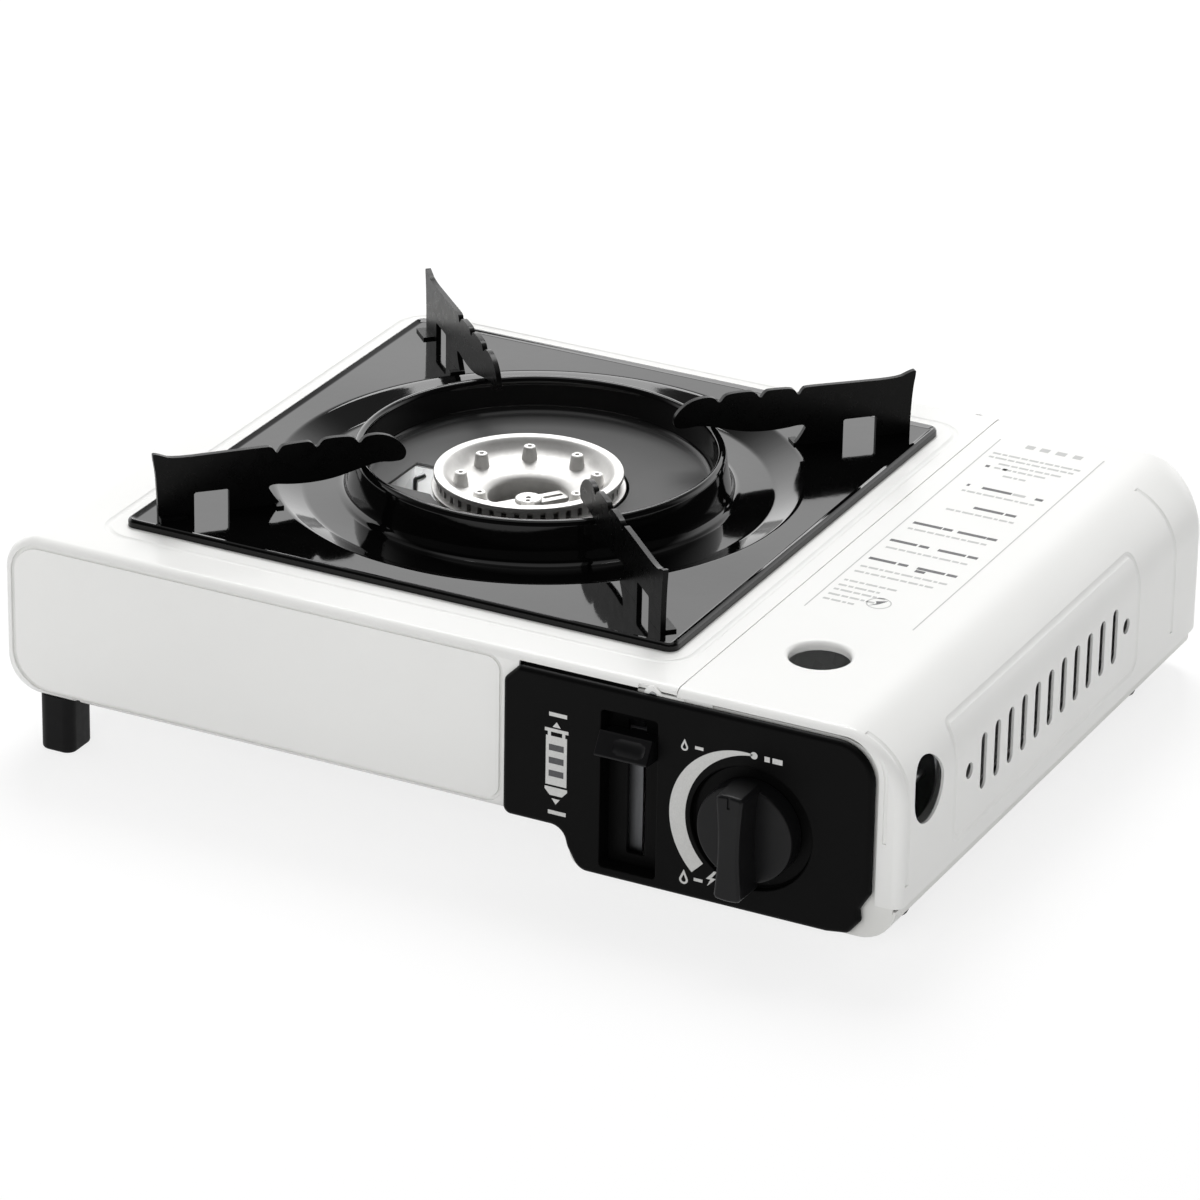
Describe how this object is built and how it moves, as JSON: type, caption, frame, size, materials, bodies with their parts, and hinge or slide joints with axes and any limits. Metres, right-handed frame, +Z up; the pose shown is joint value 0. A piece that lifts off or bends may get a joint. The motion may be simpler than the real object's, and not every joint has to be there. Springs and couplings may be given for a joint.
{
  "type": "portable butane stove",
  "caption": "Low portable gas stove: burner in an enamelled drip tray with pan supports, hinged lid over a cartridge bay, and a front panel with a knob and a lever.",
  "frame": {"origin": "middle of the footprint, knob included, on the table that the feet stand on", "axes": "+X from the burner to the cartridge bay, +Y from the control panel to the back, +Z up"},
  "size_m": [0.358, 0.2944, 0.1114],
  "materials": {
    "white_paint": "glossy white powder coat",
    "white_underside": "white paint, a little duller than the deck",
    "galvanised_sheet": "galvanised, faintly mottled",
    "bright_sheet": "bright rolled sheet",
    "black_enamel": "mirror-glossy black vitreous enamel",
    "black_support_enamel": "black enamel, satin",
    "cast_aluminium": "as cast, rim machined",
    "brass": "turned",
    "white_ceramic": "glazed",
    "lead_insulation": "silicone insulated wire",
    "igniter_plastic": "moulded",
    "die_cast_zinc": "die cast, matt",
    "plated_steel": "zinc plated",
    "carriage_plastic": "moulded",
    "panel_plastic": "fine texture with a polished bevel",
    "knob_plastic": "satin",
    "foot_plastic": "moulded",
    "foot_rubber": "matt"
  },
  "bodies": {
    "housing": {"top_shell": "white_paint", "base_pan": "white_underside", "partition": "galvanised_sheet", "burner_head": "cast_aluminium", "mixing_tube": "cast_aluminium", "burner_bracket": "galvanised_sheet", "heat_shield": "bright_sheet", "gas_jet": "brass", "gas_pipe": "brass", "spark_electrode": "white_ceramic", "ignition_lead": "lead_insulation", "piezo_igniter": "igniter_plastic", "regulator": "die_cast_zinc", "regulator_cap": "die_cast_zinc", "guide_rods": "plated_steel", "lever_guide": "plated_steel", "control_panel": "panel_plastic", "front_hinge_pin": "plated_steel", "rear_hinge_pin": "plated_steel", "cartridge_cradle": "galvanised_sheet", "cartridge_spring": "plated_steel", "front_left_foot": "foot_plastic", "rear_left_foot": "foot_plastic", "front_right_foot": "foot_rubber", "rear_right_foot": "foot_rubber", "foot_screws": "plated_steel", "panel_screws": "plated_steel", "regulator_screws": "plated_steel", "bracket_screws": "plated_steel", "base_screws": "plated_steel"},
    "lid": {"cartridge_lid": "white_paint"},
    "knob": {"control_knob": "knob_plastic", "valve_spindle": "brass"},
    "lever": {"lever_handle": "knob_plastic", "lever_carriage": "carriage_plastic"},
    "clamp": {"clamp_fork": "plated_steel"},
    "tray": {"drip_tray": "black_enamel", "front_left_support": "black_support_enamel", "front_right_support": "black_support_enamel", "rear_left_support": "black_support_enamel", "rear_right_support": "black_support_enamel"}
  },
  "joints": [
    {"name": "lid_hinge", "type": "hinge", "parent": "housing", "child": "lid", "pos_m": [0.0835, 0.01025, 0.08], "axis": [0, -1, 0], "range_deg": [0, 90]},
    {"name": "knob_turn", "type": "hinge", "parent": "housing", "child": "knob", "pos_m": [0.123, 0, 0.0395], "axis": [0, -1, 0], "range_deg": [0, 136]},
    {"name": "lever_slide", "type": "slide", "parent": "housing", "child": "lever", "axis": [0, 0, -1], "range_m": [0, 0.033]},
    {"name": "clamp_slide", "type": "slide", "parent": "housing", "child": "clamp", "axis": [0, -1, 0], "range_m": [0, 0.0066]},
    {"name": "tray_lift", "type": "slide", "parent": "housing", "child": "tray", "axis": [0, 0, 1], "range_m": [0, 0.06]}
  ],
  "couplings": [
    {"joint": "clamp_slide", "follows": "lever_slide", "ratio": 0.2}
  ]
}
